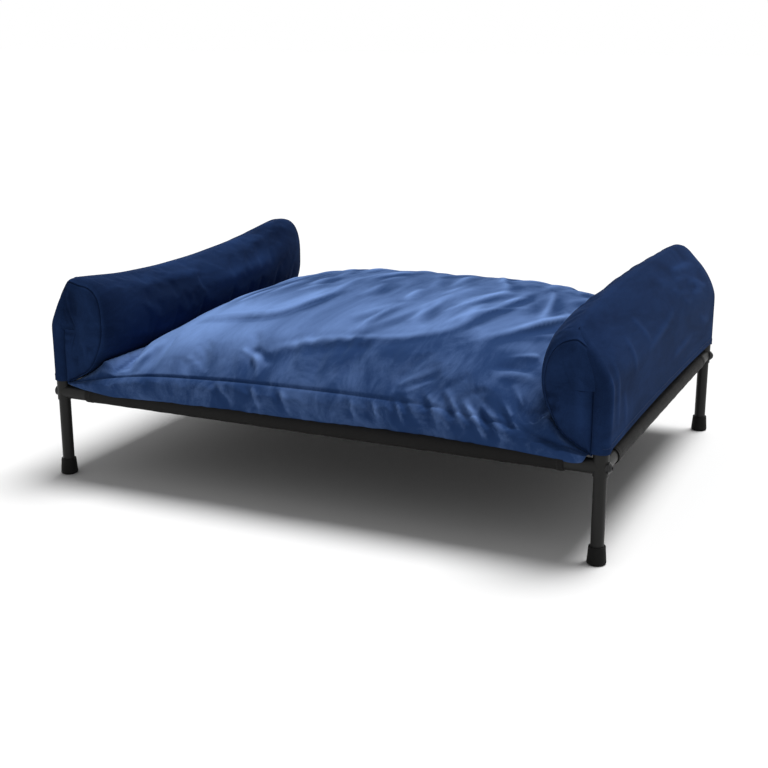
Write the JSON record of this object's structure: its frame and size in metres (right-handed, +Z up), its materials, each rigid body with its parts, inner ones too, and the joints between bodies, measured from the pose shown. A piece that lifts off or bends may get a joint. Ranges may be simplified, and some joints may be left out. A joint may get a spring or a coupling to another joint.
{
  "type": "raised dog cot",
  "caption": "Raised pet bed: bolted tube frame with a woven sling, a velvet cushion, and stuffed bolsters that slip over the end hoops.",
  "frame": {"origin": "on the floor under the middle of the cot", "axes": "+X along the length of the cot towards its right end, +Y to the rear, +Z up"},
  "size_m": [0.9332, 0.7076, 0.356],
  "materials": {
    "frame_powder_coat": "satin black powder coat",
    "foot_rubber": "matt black rubber",
    "plug_steel": "plain turned steel",
    "screw_black": "black zinc",
    "sling_weave": "black woven mat",
    "cushion_velvet": "royal blue velvet",
    "bolster_velvet": "navy blue velvet",
    "filling": "white polyester filling"
  },
  "bodies": {
    "frame": {"left_hoop": "frame_powder_coat", "right_hoop": "frame_powder_coat", "left_end_rail": "frame_powder_coat", "right_end_rail": "frame_powder_coat", "front_rail": "frame_powder_coat", "rear_rail": "frame_powder_coat", "front_left_leg": "frame_powder_coat", "front_right_leg": "frame_powder_coat", "rear_left_leg": "frame_powder_coat", "rear_right_leg": "frame_powder_coat", "front_left_foot": "foot_rubber", "front_right_foot": "foot_rubber", "rear_left_foot": "foot_rubber", "rear_right_foot": "foot_rubber", "rail_plugs": "plug_steel", "frame_bolts": "screw_black", "saddle_washers": "screw_black", "sling_panel": "sling_weave", "front_sleeve": "sling_weave", "rear_sleeve": "sling_weave", "left_sleeve": "sling_weave", "right_sleeve": "sling_weave"},
    "cushion": {"cushion_cover": "cushion_velvet", "cushion_fill": "filling"},
    "left_bolster": {"left_bolster_cover": "bolster_velvet", "left_bolster_fill": "filling", "left_pocket_panel": "bolster_velvet", "left_pocket_gusset": "bolster_velvet"},
    "right_bolster": {"right_bolster_cover": "bolster_velvet", "right_bolster_fill": "filling", "right_pocket_panel": "bolster_velvet", "right_pocket_gusset": "bolster_velvet"}
  },
  "joints": [
    {"name": "cushion_pull", "type": "slide", "parent": "frame", "child": "cushion", "axis": [0, -1, 0], "range_m": [0, 0.7]},
    {"name": "left_bolster_lift", "type": "slide", "parent": "frame", "child": "left_bolster", "axis": [0, 0, 1], "range_m": [0, 0.16]},
    {"name": "right_bolster_lift", "type": "slide", "parent": "frame", "child": "right_bolster", "axis": [0, 0, 1], "range_m": [0, 0.16]}
  ]
}
